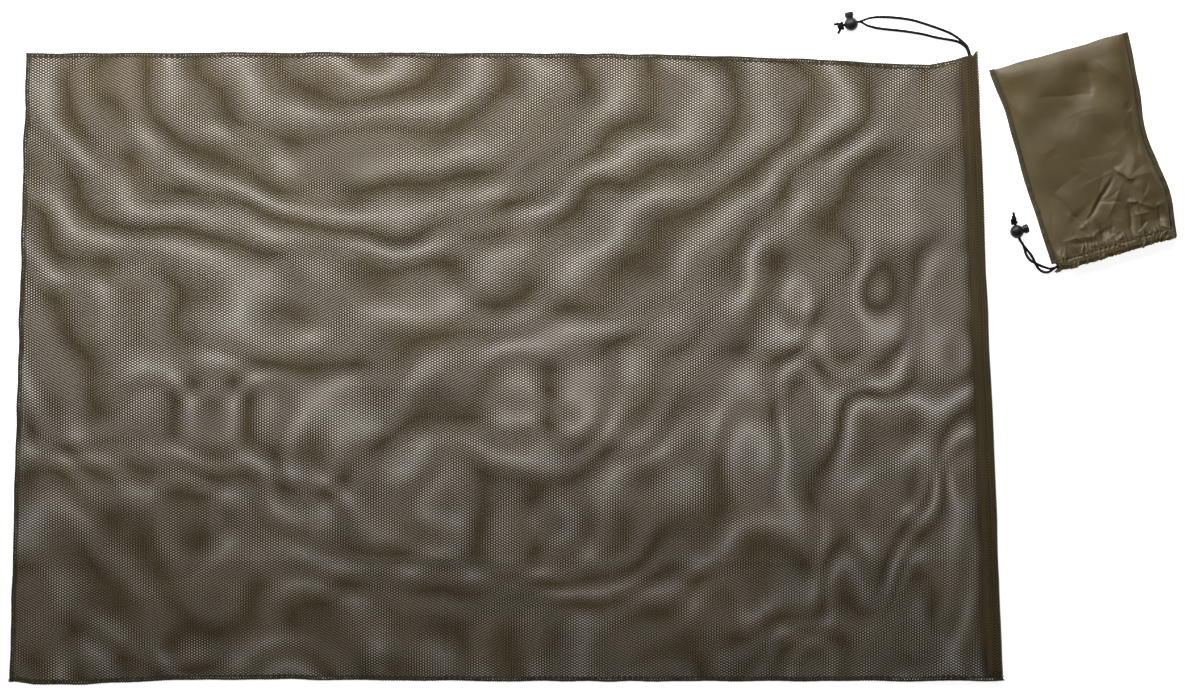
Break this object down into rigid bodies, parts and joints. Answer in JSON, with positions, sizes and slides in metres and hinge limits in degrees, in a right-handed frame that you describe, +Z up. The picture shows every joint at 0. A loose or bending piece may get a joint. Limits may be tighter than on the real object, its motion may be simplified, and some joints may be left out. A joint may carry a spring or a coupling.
{
  "type": "mesh drawstring sack",
  "caption": "Flat net drawstring sack with a corded mouth and spring cord lock, beside the small nylon drawstring pouch it packs into.",
  "frame": {"origin": "middle of the underside of the sack's lower panel, on the surface the sack lies on", "axes": "+X from the sack's closed end to its mouth, +Y towards the corner that the cord leaves from, +Z up"},
  "size_m": [1.4478, 0.8351, 0.017],
  "materials": {
    "net": "olive brown hexagonal mesh net",
    "net_seam": "overlocked net edge, dark olive",
    "nylon": "olive nylon taffeta with a soft sheen",
    "nylon_seam": "sewn nylon edge, dark olive",
    "thread": "olive polyester sewing thread",
    "cord": "black braided cord",
    "lock_plastic": "black moulded plastic, satin",
    "spring_steel": "bright spring wire"
  },
  "bodies": {
    "sack": {"sack_lower_panel": "net", "sack_lower_casing": "net", "sack_side_seam_a": "net_seam", "sack_side_seam_b": "net_seam", "sack_end_seam": "net_seam", "sack_side_thread_a": "thread", "sack_side_thread_b": "thread", "sack_end_thread": "thread", "sack_lower_casing_thread": "thread", "sack_lower_cord_run": "cord", "sack_lower_cord_strand": "cord", "sack_upper_cord_strand": "cord", "sack_cord_knot": "cord"},
    "sack_upper_layer": {"sack_upper_panel": "net", "sack_upper_casing": "net", "sack_upper_casing_thread": "thread", "sack_upper_cord_run": "cord"},
    "sack_lock": {"sack_lock_body": "lock_plastic", "sack_lock_spring": "spring_steel"},
    "sack_button": {"sack_lock_plunger": "lock_plastic"},
    "pouch": {"pouch_lower_panel": "nylon", "pouch_lower_casing": "nylon", "pouch_side_seam_a": "nylon_seam", "pouch_side_seam_b": "nylon_seam", "pouch_end_seam": "nylon_seam", "pouch_side_thread_a": "thread", "pouch_side_thread_b": "thread", "pouch_end_thread": "thread", "pouch_lower_casing_thread": "thread", "pouch_lower_cord_run": "cord", "pouch_lower_cord_strand": "cord", "pouch_upper_cord_strand": "cord", "pouch_cord_knot": "cord"},
    "pouch_upper_layer": {"pouch_upper_panel": "nylon", "pouch_upper_casing": "nylon", "pouch_upper_casing_thread": "thread", "pouch_upper_cord_run": "cord"},
    "pouch_lock": {"pouch_lock_body": "lock_plastic", "pouch_lock_spring": "spring_steel"},
    "pouch_button": {"pouch_lock_plunger": "lock_plastic"}
  },
  "joints": [
    {"name": "sack_mouth_open", "type": "hinge", "parent": "sack", "child": "sack_upper_layer", "pos_m": [-0.6015, -0.0002, 0.0026], "axis": [-0.0282, -0.9996, 0], "range_deg": [0, 12]},
    {"name": "sack_lock_slide", "type": "hinge", "parent": "sack", "child": "sack_lock", "pos_m": [0.46632, 0.2382, 0.0085], "axis": [0, 0, -1], "range_deg": [0, 42], "deforming": ["sack_upper_cord_strand", "sack_lower_cord_strand"]},
    {"name": "sack_button_press", "type": "slide", "parent": "sack_lock", "child": "sack_button", "axis": [0.2181, -0.9759, 0], "range_m": [0, 0.0022], "stiffness_N_per_m": 900, "springref_m": -0.003, "deforming": ["sack_lock_spring"]},
    {"name": "pouch_lift", "type": "slide", "parent": "sack", "child": "pouch", "axis": [0, 0, 1], "range_m": [0, 0.15]},
    {"name": "pouch_mouth_open", "type": "hinge", "parent": "pouch", "child": "pouch_upper_layer", "pos_m": [0.68387, 0.3851, 0.0022], "axis": [-0.9636, -0.2672, 0], "range_deg": [0, 14]},
    {"name": "pouch_lock_slide", "type": "hinge", "parent": "pouch", "child": "pouch_lock", "pos_m": [0.71043, 0.19287, 0.0085], "axis": [0, 0, 1], "range_deg": [0, 26], "deforming": ["pouch_upper_cord_strand", "pouch_lower_cord_strand"]},
    {"name": "pouch_button_press", "type": "slide", "parent": "pouch_lock", "child": "pouch_button", "axis": [-0.9542, -0.299, 0], "range_m": [0, 0.0022], "stiffness_N_per_m": 900, "springref_m": -0.003, "deforming": ["pouch_lock_spring"]}
  ]
}
